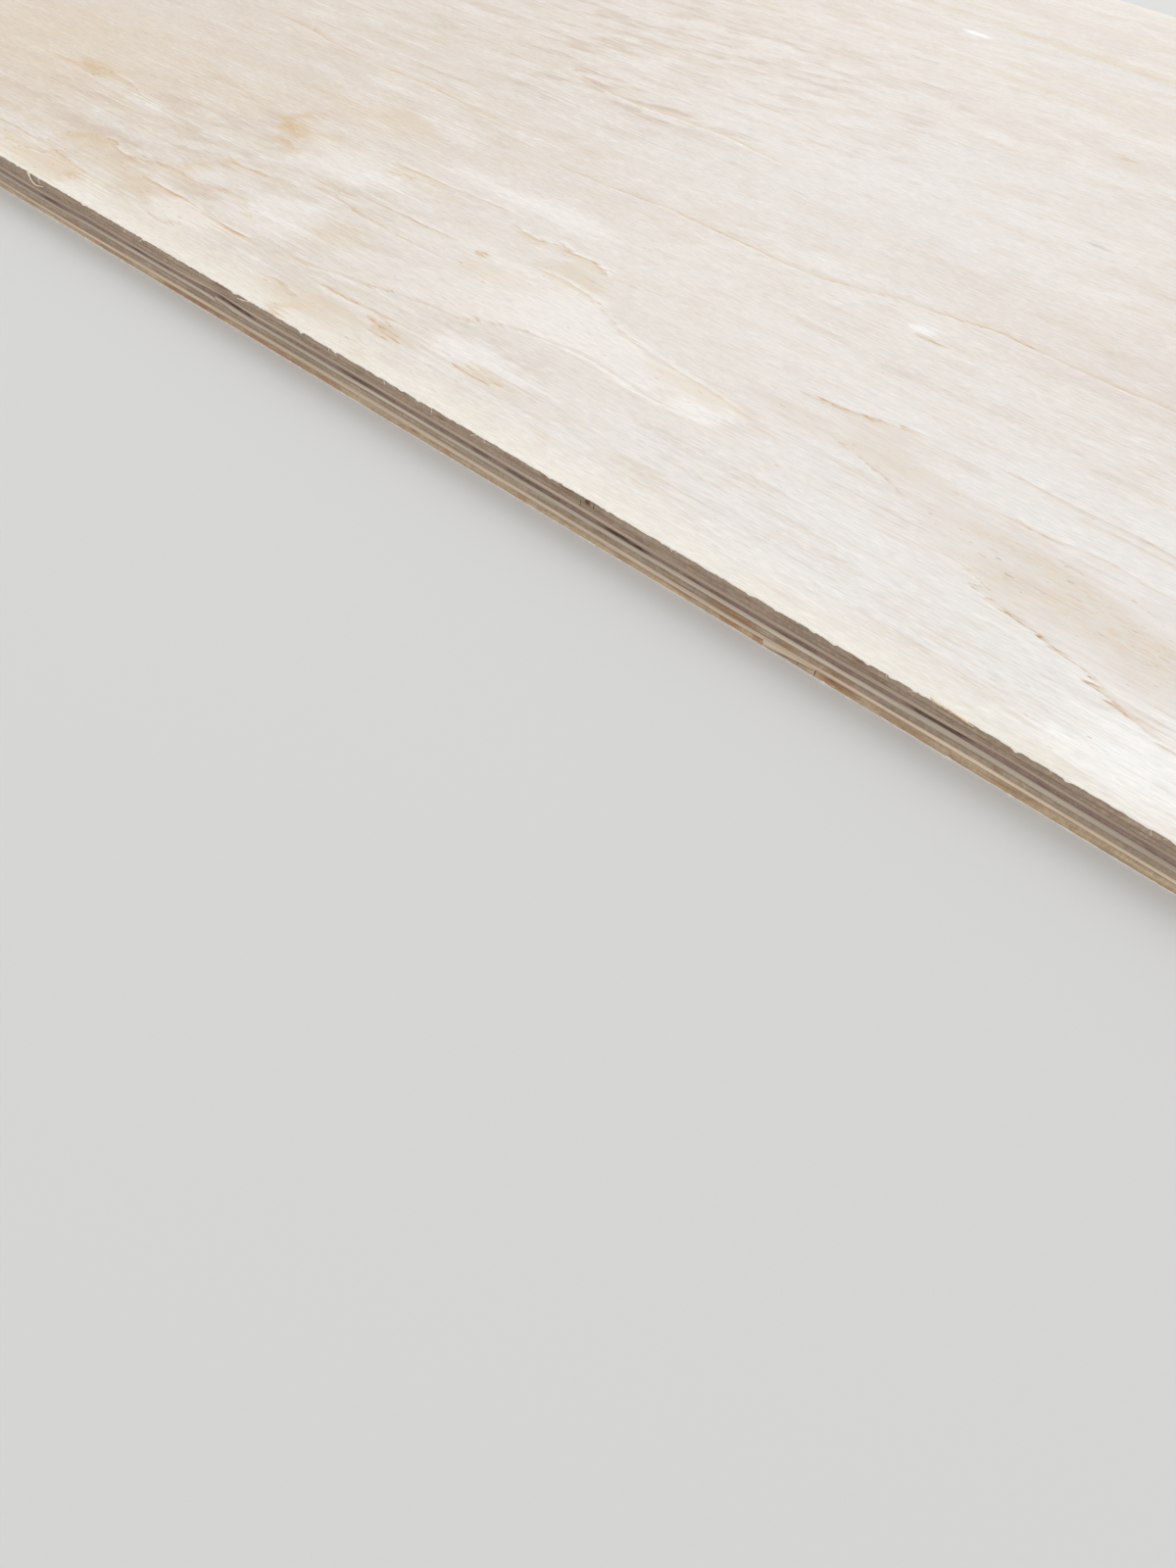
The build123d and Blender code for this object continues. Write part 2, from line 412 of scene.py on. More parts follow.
def growth_line(tree, figure, along, across, points, tan_side, strengths):
    """Adds a growth line to the figure. Gives the figure, how far a place lies beyond the line in
    metres, and its share of the way along it."""
    start, end = points[0][0], points[-1][0]
    share = add(tree, "MapRange", (along, start * mm, end * mm))
    curve = [((x - start) / (end - start), y / figure_depth) for x, y in points]
    height = add(tree, "FloatCurve", {"Value": share}, curve=curve)
    apart = add(tree, "Math", (height, -figure_depth * mm, across), operation="MULTIPLY_ADD")
    on_ramp = add(tree, "Math", (apart, -tan_side / (2 * line_reach * mm), 0.5), operation="MULTIPLY_ADD")
    stops = [
        (0.5 + away / (2 * line_reach), (*(a * b for a, b in zip(parts, strengths)), 1.0))
        for away, parts in line_profile
    ]
    profile = add(tree, "ValToRGB", (on_ramp,), stops=stops)
    from_end = add(tree, "Math", (share, 0.5), operation="PINGPONG")
    figure = covered(tree, figure, profile, from_end, full=line_fade, blend="LIGHTEN")
    return figure, apart, share


def ring_area(tree, figure, along, across, near, far, inside, fade, softness):
    """Adds two growth lines to the figure, and what fills the wood between them."""
    figure, above_near, share = growth_line(tree, figure, along, across, near[0], 1, near[1])
    figure, above_far = growth_line(tree, figure, along, across, far[0], -1, far[1])[:2]
    past_near = add(tree, "MapRange", (above_near, 0.0, softness * mm))
    short_of_far = add(tree, "MapRange", (above_far, 0.0, -softness * mm))
    between = add(tree, "Math", (past_near, short_of_far), operation="MULTIPLY")
    return covered(tree, figure, (*inside, 1.0), share, *fade, between, "LIGHTEN")


def torn_oval(tree, place, ragged, middle, reach):
    """How far a place lies from the middle of an oval, in shares of its reach, made ragged."""
    centre = (middle[0] * mm, middle[1] * mm - half_width, 0.0)
    scale = (1 / (reach[0] * mm), 1 / (reach[1] * mm), 0.0)
    apart = add(tree, "VectorMath", (place, centre), operation="SUBTRACT")
    scaled = add(tree, "VectorMath", (apart, scale), operation="MULTIPLY")
    away = add(tree, "VectorMath", (scaled,), operation="LENGTH")
    return add(tree, "Math", (ragged, away.outputs["Value"]), operation="ADD")


def face_veneer_material(name, shift, by_hand):
    """Peeled and sanded pine veneer, with or without the listed figure."""
    material, tree, where = new_material(name)
    place = where.outputs["Object"]

    # The figure is pulled along the grain by single fibres, and pushed across it by waves
    fibre = grain_noise(tree, place, fibre_size, 1.0, 0.5, shift)
    swirl = grain_noise(tree, place, swirl_size, 3.0, 0.6, shift + 4)
    pull = add(tree, "Math", (fibre, fibre_pull, -fibre_pull / 2), operation="MULTIPLY_ADD")
    push = add(tree, "Math", (swirl, swirl_push, -swirl_push / 2), operation="MULTIPLY_ADD")
    moved = add(tree, "CombineXYZ", (pull, push))
    wandering = add(tree, "VectorMath", (place, moved), operation="ADD")
    if by_hand:
        ragged = add(tree, "Math", (fibre, swirl), operation="ADD")
        ragged = add(tree, "Math", (ragged, raggedness), operation="MULTIPLY")

    # Pale and dark patches, from broad bands down to streaks
    colour = linear(face_cream)
    for number, (patch, size, turn, start, full, most) in enumerate(face_patches):
        spread = grain_noise(tree, place, size, 3.0, 0.55, shift + 2.3 * number, turn)
        colour = covered(tree, colour, linear(patch), spread, start, full, most)
    if by_hand:
        for middle, reach, tone, cover in broad_tones:
            oval = torn_oval(tree, wandering, ragged, middle, reach)
            colour = covered(tree, colour, linear(tone), oval, *oval_edge, cover)
        smudges = grain_noise(tree, place, smudge_size, 2.0, 0.5, shift + 3.1, smudge_turn)
        smudged = add(tree, "MapRange", (smudges, 0.47, 0.66))
        for middle, reach, cover in smudged_areas:
            oval = torn_oval(tree, wandering, ragged, middle, reach)
            most = add(tree, "Math", (smudged, cover), operation="MULTIPLY")
            colour = covered(tree, colour, linear(smudge_tan), oval, *oval_edge, most)

    # A painted highlight: the face is brighter and creamier beside the long sawn edges
    axes = add(tree, "SeparateXYZ", (wandering,))
    off_middle = add(tree, "Math", (axes.outputs["Y"],), operation="ABSOLUTE")
    colour = covered(tree, colour, linear(edge_highlight_cream), off_middle, half_width - edge_fade, half_width, 0.75)

    # Growth rings: contours of a smooth field that drifts across the sheet
    field = grain_noise(tree, wandering, ring_size, 3.0, 0.42, shift + 1.3)
    drift = add(tree, "Math", (axes.outputs["Y"], 1 / ring_drift), operation="MULTIPLY")
    rings = add(tree, "Math", (field, ring_count, drift), operation="MULTIPLY_ADD")
    ring = add(tree, "Math", (rings,), operation="FRACT")
    profile = add(tree, "ValToRGB", (ring,), stops=[(at, (*parts, 1.0)) for at, parts in ring_profile])
    come_and_go = grain_noise(tree, place, ring_patch_size, 2.0, 0.5, shift + 5.9)
    shown = add(tree, "MapRange", (come_and_go, 0.38, 0.62, 0.10, 0.90))
    if by_hand:
        along = axes.outputs["X"]
        across = add(tree, "Math", (axes.outputs["Y"], half_width), operation="ADD")
        beside = [
            add(tree, "MapRange", (along, end * mm, full * mm, faint_rings)) for end, full in figure_ends
        ]
        clear = add(tree, "Math", beside, operation="MAXIMUM")
        shown = add(tree, "Math", (shown, clear), operation="MULTIPLY")
    figure = covered(tree, linear(0x000000), profile, shown)
    if by_hand:
        for line in growth_lines:
            figure = growth_line(tree, figure, along, across, *line)[0]
        for area in ring_areas:
            figure = ring_area(tree, figure, along, across, *area)
        for middle, reach, inside in figure_patches:
            oval = torn_oval(tree, wandering, ragged, middle, reach)
            figure = covered(tree, figure, (*inside, 1.0), oval, *oval_edge, blend="LIGHTEN")

    # Its red is the tan wash, its green the orange line, in dashes, and its blue the painted highlight of
    # the pale rim
    parts = add(tree, "SeparateColor", (figure,))
    dashes = grain_noise(tree, place, dash_size, 2.0, 0.65, shift + 2.2)
    dashed = add(tree, "MapRange", (dashes, 0.42, 0.58, 0.12, 1.15))
    patchy = grain_noise(tree, place, fading_size, 2.0, 0.5, shift + 9.1)
    fading = add(tree, "MapRange", (patchy, 0.36, 0.60, 0.40, 1.3))
    broken = add(tree, "Math", (dashed, fading), operation="MULTIPLY")
    line = add(tree, "Math", (parts.outputs["Green"], broken), operation="MULTIPLY")
    streaky = add(tree, "MapRange", (dashes, 0.36, 0.64, 0.45, 1.35))
    wash = add(tree, "Math", (parts.outputs["Red"], fading), operation="MULTIPLY")
    wash = add(tree, "Math", (wash, streaky), operation="MULTIPLY")
    colour = covered(tree, colour, linear(tan_wash), wash)
    colour = covered(tree, colour, linear(latewood), line)
    colour = covered(tree, colour, linear(raised_grain_highlight), parts.outputs["Blue"])

    # Resin canals: short brown dashes, most of them where the wash is
    canals = grain_noise(tree, place, canal_size, 1.0, 0.5, shift + 7.7)
    often = add(tree, "MapRange", (parts.outputs["Red"], 0.0, 0.2, 0.78, 0.70))
    over = add(tree, "Math", (canals, often), operation="SUBTRACT")
    colour = covered(tree, colour, linear(resin_brown), over, 0.0, 0.05, 0.55)

    # Fibres: streaks of a fraction of a millimetre, and coarser ones that still show from afar
    coarse = grain_noise(tree, place, streak_size, 3.0, 0.65, shift + 6.1, 2)
    colour = shaded(tree, colour, dashes, 0.90, 1.07)
    colour = shaded(tree, colour, coarse, 0.955, 1.04)

    # The sides of the thin veneers are nearly white: pale torn fibres, and a painted highlight along the
    # arris
    normal = add(tree, "SeparateXYZ", (where.outputs["Normal"],))
    upright = add(tree, "Math", (normal.outputs["Z"],), operation="ABSOLUTE")
    colour = covered(tree, colour, linear(torn_white_and_arris_highlight), upright, 0.8, 0.3)
    surface(tree, colour, 0.62, dashes, 0.1 * mm, 0.7)
    return material


# Core veneers, bare where the saw cut them. End grain soaks up light and looks brown. Side
# grain is paler and streaked along the ply. Each ply comes from another log, so it has its
# own tones: end grain, side grain, and the stain of its heartwood streaks, which in ply 8 also
# paints the shade in the cracks of the core gap
core_tones = {
    "crossband_ply_2": (0xB19C86, 0xD2C2AC, 0x8A6248),
    "crossband_ply_3": (0xAA9582, 0xCEBDA7, 0x806350),
    "long_ply_4": (0xAA9781, 0xC1AD97, 0x8A6F58),
    "crossband_ply_5": (0x9A8176, 0xC0AE9A, 0x4E3833),
    "centre_ply_6": (0xAC9D88, 0xCBBEAA, 0x9B8670),
    "crossband_ply_7": (0xB29D89, 0xD2C2AC, 0x9F7449),
    "long_ply_8": (0xB3A088, 0xE1CDB4, 0xB0906A),
    "crossband_ply_9": (0xCEB697, 0xDAC8B0, 0xA67858),
}
glue_brown = 0x62503F
bark_and_shade_dark = 0x38271F

# Patterns of a core ply: cells across the grain, along it and through the ply, in millimetres,
# with the darkest and the lightest level
core_patterns = (
    ((24, 170, 1.7), 0.80, 1.18),
    ((7, 90, 0.9), 0.84, 1.14),
    ((1.3, 70, 2.6), 0.84, 1.14),
    ((60, 110, 0.45), 0.80, 1.14),
)

# Their heartwood streaks: cells along the sheet, across it and through the ply
crossband_streaks = (17, 260, 3.4)
long_streaks = (80, 17, 1.2)


def core_veneer_material(ply, number):
    """A core ply: wood whose grain runs along the sheet or across it, with sawn edges."""
    across = ply.startswith("crossband")
    kind = "crossband" if across else "long_core"
    material, tree, where = new_material(f"sawn_{kind}_veneer_{number}")
    place = where.outputs["Object"]
    end_tone, side_tone, stain_and_shade_tone = core_tones[ply]
    shift = number * 3.7

    normal = add(tree, "SeparateXYZ", (where.outputs["Normal"],))
    facing = normal.outputs["Y" if across else "X"]
    end_grain = add(tree, "Math", (facing,), operation="ABSOLUTE")
    colour = covered(tree, linear(side_tone), linear(end_tone), end_grain)
    patterns = []
    for order, ((wide, long, thick), darkest, lightest) in enumerate(core_patterns):
        size = (wide, long, thick) if across else (long, wide, thick)
        patterns.append(grain_noise(tree, place, size, 3.0, 0.6, shift + order))
        colour = shaded(tree, colour, patterns[-1], darkest, lightest)

    # Heartwood streaks here and there, and the marks that the attribute puts in their place: stains, and
    # painted shade in the cracks of the core gap
    streaks = grain_noise(tree, place, crossband_streaks if across else long_streaks, 3.0, 0.6, shift + 8)
    scattered = add(tree, "MapRange", (streaks, 0.58, 0.76, 0.0, 0.55))
    placed = add(tree, "Attribute", attribute_name="stain_and_shade")
    uneven = add(tree, "MapRange", (patterns[1], 0.32, 0.66, 1.25, 0.45))
    marked = add(tree, "Math", (placed.outputs["Fac"], uneven), operation="MULTIPLY")
    stain_and_shade = add(tree, "Math", (scattered, marked), operation="MAXIMUM")
    # The same mixes paint the shade in the cracks above and below the gap filling
    colour = covered(tree, colour, linear(stain_and_shade_tone), stain_and_shade, 0.0, 0.6, 0.9)
    colour = covered(tree, colour, linear(bark_and_shade_dark), stain_and_shade, 0.6, 1.0, 0.85)

    # Patchy glue at both sides of the ply
    glue = add(tree, "Attribute", attribute_name="glue")
    patchy = add(tree, "MapRange", (patterns[1], 0.40, 0.62, 0.10, 0.95))
    glued = add(tree, "Math", (glue.outputs["Fac"], patchy), operation="MULTIPLY")
    colour = covered(tree, colour, linear(glue_brown), glued)
    surface(tree, colour, 0.85, patterns[2], 0.15 * mm, 0.6)
    return material


# Loose pine fibres, torn up by the saw: dry, matt and pale, or orange where there is resin
torn_tones = (0xFBF4E6, 0xE0CBAA)
resinous_tones = (0xF3E2C2, 0xDBA868)
torn_streaks = (3, 3, 1.5)


def torn_fibre_material(name, pale, dark):
    """Torn wood in two tones, mixed in streaks."""
    material, tree, where = new_material(name)
    streaks = grain_noise(tree, where.outputs["Object"], torn_streaks, 2.0, 0.6)
    surface(tree, covered(tree, linear(pale), linear(dark), streaks, 0.40, 0.66), 0.7)
    return material


# Glue lines: where one ply ends and the next begins

long_wave = 230 * mm
short_wave = 31 * mm
short_wave_share = 0.45
wander = 0.24 * mm
thin_wander = 0.06 * mm


def smooth_noise(xs, ys, size, level):
    """A smooth noise at many places, with waves about as long as size."""
    return np.array([noise.noise((x / size, y / size, level)) for x, y in zip(xs, ys)])


def heights_of(ply):
    """Lower and upper side of a ply, read at the right end, clear of the core gap and lap."""
    at_end = [v.co.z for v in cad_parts[ply].data.vertices if v.co.x > half_length - mm]
    return min(at_end), max(at_end)


def strips_of(ply):
    """Ground plan of each strip of veneer in a ply: x0, x1, y0, y1."""
    shape = bmesh.new()
    shape.from_mesh(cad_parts[ply].data)
    bmesh.ops.remove_doubles(shape, verts=shape.verts, dist=0.001 * mm)
    left = set(shape.verts)
    plans = []
    while left:
        found = [left.pop()]
        island = []
        while found:
            corner = found.pop()
            island.append(corner)
            for edge in corner.link_edges:
                other = edge.other_vert(corner)
                if other in left:
                    left.remove(other)
                    found.append(other)
        xs = [corner.co.x for corner in island]
        ys = [corner.co.y for corner in island]
        plans.append((min(xs), max(xs), min(ys), max(ys)))
    shape.free()
    return sorted(plans)


# The core lap: the right length of the centre ply rides up over the end of the left one, which
# is crushed under it, and the ply above fills the corner
lap_rise = 0.9 * mm
lap_sink = 0.45 * mm
lap_step = 0.35 * mm
lap_glue = 0.1 * mm
lap_tip = 0.2 * mm
lap_lead_in = 4 * mm
lap_run_out = 26 * mm
lap_bulge_reach = 14 * mm
lap_dip = 0.3 * mm
left_length, right_length = strips_of("centre_ply_6")
lap_start, lap_end = right_length[0], left_length[1]

# The core gap: two strips of crossband 9 lie apart, and the ply above is pressed in between.
# Crushed splinters of it fill the rest, just behind the sawn edge
gap_sag = 2.2 * mm
gap_sag_left = 0.3 * mm
gap_wall = 0.4 * mm
gap_dent = 0.4 * mm
gap_dent_reach = 60 * mm
gap_least = 5 * mm
gap_crack = 0.12 * mm
crushed_wedge = (1.2 * mm, 15.8 * mm)
loose_sliver = (15.95 * mm, 23.1 * mm)
wedge_recess = 0.15 * mm
wedge_depth = 45 * mm
ply_9_strips = strips_of("crossband_ply_9")
gap_start, gap_end = next(
    (a[1], b[0]) for a, b in zip(ply_9_strips, ply_9_strips[1:]) if b[0] - a[1] > gap_least
)

bends = {
    "crossband_ply_7": (
        (gap_start - gap_dent_reach, gap_start, gap_end, gap_end + gap_dent_reach),
        (0, -gap_dent, -gap_dent, 0),
    ),
    "centre_ply_6": (
        (lap_start - lap_bulge_reach, lap_end, lap_end + lap_bulge_reach),
        (0, -lap_dip, 0),
    ),
    "crossband_ply_5": (
        (lap_start - lap_lead_in, lap_start - lap_step, lap_start, lap_start + lap_run_out),
        (0, -lap_sink, lap_rise, 0),
    ),
    "long_ply_4": (
        (lap_start - lap_bulge_reach, lap_start + lap_lead_in, lap_start + lap_run_out + lap_lead_in),
        (0, lap_rise, 0),
    ),
}


# Where the glue lines drift from their heights in the photographed part, because each core
# veneer is thicker in one place and thinner in another. In millimetres: places along
# the sheet, and how far the line under the ply lies above or below its height there
drifts = {
    "crossband_ply_2": (
        (-300, -180, -130, -84, -36, 180, 227, 273, 330),
        (0, -0.6, -0.25, -0.4, 0, 0, -0.3, -0.2, 0),
    ),
    "crossband_ply_3": (
        (-300, -180, -156, -132, -108, -84, -60, -36, -12, 20, 180, 227, 273, 311, 348),
        (0, -1.4, -0.9, -0.5, -0.5, -0.9, -0.6, 0, -0.4, 0, -0.1, -0.7, -0.5, -0.2, 0),
    ),
    "long_ply_4": (
        (-300, -180, -156, -132, -108, -84, -60, -42, 0, 60, 120, 180, 227, 273, 311, 348, 371, 402),
        (0, -1.6, -1.1, -0.6, -0.7, -0.9, -0.6, 0, -0.3, 0.1, -0.2, -0.4, -0.8, -0.7, -0.4, 0, 0.6, 0),
    ),
    "crossband_ply_5": (
        (-300, -180, -156, -132, -84, -42, 0, 60, 120, 180, 273, 311, 348, 371, 402, 460),
        (0, -1.1, -1.0, -0.5, -0.3, 0, 0.2, 0.2, 0, -0.3, -0.3, -0.2, 0.6, 0.6, 0.3, 0),
    ),
    "centre_ply_6": (
        (-300, -180, -132, -84, -50, -20, 0, 60, 120, 180, 311, 364, 420),
        (0, -0.7, -0.1, -0.1, 0.2, 0, 0.4, 0.3, 0.1, -0.3, 0, 0.5, 0),
    ),
    "crossband_ply_7": (
        (-300, -180, -132, -84, -36, 0, 60, 120, 180, 260, 311, 364, 480),
        (0, -1.3, -0.9, -0.7, -0.3, 0, 0.2, 0, -0.3, -0.5, 0.1, 0.4, 0),
    ),
    "long_ply_8": (
        (-300, -180, -132, -84, -36, 0, 60, 180, 260, 311, 364, 425, 500),
        (0, -0.9, -0.8, -0.5, -0.3, 0, 0.15, -0.2, -0.5, 0.2, 0.6, 0.6, 0),
    ),
}


def glue_line(number, xs, ys):
    """Height of the glue line under ply number, counted from the underside, at many places."""
    if number == len(plies):
        return np.full(len(xs), top_of_sheet)
    height = heights_of(plies[number])[0]
    if number == 0:
        return np.full(len(xs), height)
    amount = thin_wander if number in (1, len(plies) - 1) else wander
    waves = smooth_noise(xs, ys, long_wave, number * 7.3)
    waves += short_wave_share * smooth_noise(xs, ys, short_wave, number * 3.1 + 40)
    bend = np.interp(xs, *bends[plies[number]]) if plies[number] in bends else 0.0
    drift = np.interp(xs / mm, *drifts[plies[number]]) * mm if plies[number] in drifts else 0.0
    return height + amount * waves + bend + drift


# Marks on the near sawn edge: heartwood streaks, pitch and a pin knot, darker bands at the foot
# of the right length of the centre ply, and painted shade in the cracks above and below the gap
# filling. Each has its start and end along the sheet in millimetres, its lower and upper side as
# shares of the ply, and its strength: 0.5 is a full stain, and 1 is as dark as bark
edge_marks = {
    "crossband_ply_2": (
        (-142, -134, 0.0, 0.2, 0.5), (106, 113, 0.0, 0.3, 0.55), (143, 157, 0.2, 1.0, 0.30),
        (163, 171, 0.3, 1.0, 0.55), (172, 186, 0.2, 1.0, 0.45), (187.6, 191.6, 0.1, 0.9, 1.0),
        (238, 246, 0.1, 0.8, 0.25), (309, 320, 0.4, 1.0, 0.50),
    ),
    "crossband_ply_5": (
        (-176, -152, 0.1, 0.9, 0.35), (-101, -84, 0.3, 1.0, 0.45), (-37, -6, 0.3, 1.0, 0.70),
        (44, 78, 0.1, 1.0, 0.45), (53, 66, 0.3, 0.9, 0.75), (128, 140, 0.2, 1.0, 0.50),
        (144, 170, 0.1, 0.8, 0.40), (194, 226, 0.2, 0.8, 0.55), (198, 214, 0.5, 1.0, 1.0),
        (212, 221, 0.3, 0.8, 0.95), (238, 262, 0.0, 0.8, 0.30), (276, 302, 0.0, 0.9, 0.40),
        (333, 364, 0.4, 1.0, 0.65),
    ),
    "crossband_ply_7": (
        (181, 186, 0.8, 1.0, 0.7), (195, 199, 0.8, 1.0, 0.7), (248, 277, 0.1, 1.0, 0.50),
        (281, 293, 0.2, 0.9, 0.40), (302, 317, 0.2, 0.9, 0.45), (371, 374.5, 0.1, 0.9, 0.65),
    ),
    "crossband_ply_9": (
        (-134, -96, 0.2, 0.9, 0.35), (-80, -24, 0.1, 1.0, 0.50), (-22, 52, 0.1, 0.9, 0.42),
        (92, 98, 0.6, 1.0, 0.65), (111, 118, 0.3, 1.0, 0.40), (153, 161, 0.3, 1.0, 0.40),
        (204, 217, 0.2, 0.9, 0.30), (230, 248, 0.5, 1.0, 0.40), (254, 272, 0.3, 1.0, 0.45),
        (271, 278, 0.3, 1.0, 0.75), (299, 322, 0.4, 1.2, 0.60), (322, 352, 0.1, 0.9, 0.25),
        (366, 395, 0.3, 0.9, 0.32),
    ),
    "right_length": ((-42, -22, -0.2, 0.10, 1.1), (-24, -12, -0.2, 0.0, 0.7)),
    # Painted shade in the cracks above and below the gap filling
    "gap_filling": ((280, 302, 0.6, 1.2, 0.9), (270, 302, -0.2, 0.1, 0.7)),
}
mark_softness = 7 * mm
mark_height_softness = 0.25


def stain_and_shade_at(marked, px, py, share):
    """How strong the stains and the painted shade on the near edge of a piece are at each place, at one
    share of its height.
    """
    stain_and_shade = np.zeros(len(px))
    for start, end, low, high, strength in edge_marks.get(marked, ()):
        soft = min(mark_softness, (end - start) * mm / 3)
        along = np.clip(np.minimum(px - start * mm, end * mm - px) / soft, 0, 1)
        inside = min(share - low, high - share) / mark_height_softness + 1
        stain_and_shade = np.maximum(stain_and_shade, strength * along * min(max(inside, 0), 1))
    return np.where(py < mm - half_width, stain_and_shade, 0.0)


# Meshes of the veneers

core_step = 1.8 * mm
core_arris = 0.14 * mm
fine_step = 0.6 * mm
fine_zones = (
    (lap_start - lap_bulge_reach, lap_start + lap_run_out + lap_lead_in),
    (gap_start - lap_lead_in, gap_end + lap_lead_in),
    (186 * mm, 196 * mm),
)


def samples(start, end, step):
    """Evenly spaced places from start to end."""
    return np.linspace(start, end, max(4, round((end - start) / step) + 1))


def along_strip(start, end):
    """Places along the length: closer together at the core gap, the core lap and the knot."""
    places = [samples(start, end, core_step)]
    for low, high in fine_zones:
        inside = samples(low, high, fine_step)
        places.append(inside[(inside > start) & (inside < end)])
    sharp = np.array([
        gap_start, gap_start + gap_wall, gap_end - gap_wall, gap_end,
        lap_start - lap_step, lap_start, lap_end,
    ])
    places.append(sharp[(sharp > start) & (sharp < end)])
    merged = np.unique(np.concatenate(places))
    keep = np.concatenate([[True], np.diff(merged) > 0.05 * mm])
    keep[-1] = True
    return merged[keep]


def around(xs, ys):
    """The rim of a rectangle, anticlockwise from above: its points, and the way out at each."""
    nx, ny = len(xs), len(ys)
    px = np.concatenate([xs, np.full(ny - 1, xs[-1]), xs[-2::-1], np.full(ny - 2, xs[0])])
    py = np.concatenate([np.full(nx, ys[0]), ys[1:], np.full(nx - 1, ys[-1]), ys[-2:0:-1]])
    out = np.zeros((len(px), 2))
    out[:nx, 1] = -1
    out[nx - 1:nx + ny - 1, 0] = 1
    out[nx + ny - 2:2 * nx + ny - 2, 1] = 1
    out[2 * nx + ny - 3:, 0] = -1
    out[0, 0] = -1
    return px, py, out


def cap(nx, ny, upward):
    """Faces that close a rim: long quads from side to side, and a fan at each end."""
    count = 2 * (nx + ny) - 4
    near = list(range(nx))
    right = [nx - 1 + k for k in range(ny)]
    far = [nx + ny - 2 + (nx - 1 - j) for j in range(nx)]
    left = [0] + [count - k for k in range(1, ny)]
    faces = [(near[j], near[j + 1], far[j + 1], far[j]) for j in range(1, nx - 2)]
    middle = ny // 2
    for k in range(ny - 1):
        inner_left = near[1] if k < middle else far[1]
        inner_right = near[-2] if k < middle else far[-2]
        faces.append((left[k], inner_left, left[k + 1]))
        faces.append((right[k], right[k + 1], inner_right))
    faces.append((near[1], far[1], left[middle]))
    faces.append((far[-2], near[-2], right[middle]))
    return faces if upward else [face[::-1] for face in faces]


# Where the parts of a piece lie on its own map, as left, low, right and high: the upper cap,
# the lower cap and the rim, which is cut into rows of one length. What shows gets the room
core_layout = ((0.0, 0.0, 0.5, 0.03), (0.5, 0.0, 1.0, 0.03), (0.0, 0.04, 1.0, 1.0), 300 * mm)
face_layout = ((0.0, 0.1, 1.0, 1.0), (0.0, 0.0, 0.1, 0.01), (0.0, 0.02, 1.0, 0.09), 900 * mm)
back_layout = (face_layout[1], face_layout[0], *face_layout[2:])
row_margin = 0.12


class Shells:
    """Closed shells gathered into one mesh, each made of rims from its top to its bottom."""

    def __init__(self, layout):
        self.upper_room, self.lower_room, self.rim_room, self.row_length = layout
        self.points, self.faces, self.spots = [], [], []
        self.marks = {"glue": [], "stain_and_shade": []}
        self.total = self.rows = 0

    def add_cap(self, faces, rim, first, room):
        """Adds the faces that close a rim, laid flat in their room on the map."""
        self.faces += [tuple(first + corner for corner in face) for face in faces]
        corners = np.concatenate(faces)
        u = np.clip(0.5 + rim[corners, 0] / (2 * half_length), 0, 1)
        v = np.clip(0.5 + rim[corners, 1] / (2 * half_width), 0, 1)
        self.spots.append((room, u, v, False))

    def add_band(self, upper, lower, turn, row, shares):
        """Adds the faces between two rims, laid out in rows on the map."""
        count = len(turn) - 1
        i = np.arange(count)
        j = (i + 1) % count
        self.faces += np.stack([upper + i, lower + i, lower + j, upper + j], axis=1).tolist()
        reach = self.row_length + np.diff(turn).max()
        left = (turn[:-1] - row * self.row_length) / reach
        right = (turn[1:] - row * self.row_length) / reach
        high, low = (1 - row_margin - (1 - 2 * row_margin) * share for share in shares)
        rows = self.rows + row
        across = np.stack([left, left, right, right], axis=1).ravel()
        along = np.stack([rows + high, rows + low, rows + low, rows + high], axis=1).ravel()
        self.spots.append((self.rim_room, across, along, True))

    def add(self, rims, marks, nx, ny):
        """Adds a shell. Every rim has the same number of points, and its own share of marks."""
        count = len(rims[0])
        first = self.total
        bottom = first + (len(rims) - 1) * count
        self.add_cap(cap(nx, ny, True), rims[0], first, self.upper_room)
        steps = np.linalg.norm(np.diff(rims[1][:, :2], axis=0, append=rims[1][:1, :2]), axis=1)
        turn = np.concatenate([[0.0], np.cumsum(steps)])
        row = np.floor(turn[:-1] / self.row_length)
        for level in range(len(rims) - 1):
            upper = first + level * count
            shares = (level / (len(rims) - 1), (level + 1) / (len(rims) - 1))
            self.add_band(upper, upper + count, turn, row, shares)
        self.add_cap(cap(nx, ny, False), rims[-1], bottom, self.lower_room)
        self.rows += int(row.max()) + 1
        self.points += rims
        for name, values in self.marks.items():
            given = marks.get(name, [0.0] * len(rims))
            values += [np.broadcast_to(value, count) for value in given]
        self.total += count * len(rims)

    def piece(self, name, material):
        """The finished object, with its material, its map and the attributes of its marks."""
        mesh = bpy.data.meshes.new(name)
        mesh.from_pydata(np.concatenate(self.points).tolist(), [], self.faces)
        for mark, values in self.marks.items():
            layer = mesh.attributes.new(mark, "FLOAT", "POINT")
            layer.data.foreach_set("value", np.concatenate(values).astype(np.float32))
        spots = []
        for (left, low, right, high), u, v, in_rows in self.spots:
            v = v / self.rows if in_rows else v
            spots.append(np.stack([left + (right - left) * u, low + (high - low) * v], axis=1))
        layer = mesh.uv_layers.new(name="OFBake")
        layer.uv.foreach_set("vector", np.concatenate(spots).astype(np.float32).ravel())
        mesh.materials.append(material)
        return put(name, mesh)


def rim_at(px, py, out, inset, heights):
    """A rim moved inwards by inset, at the given heights."""
    return np.stack([px - out[:, 0] * inset, py - out[:, 1] * inset, heights], axis=1)


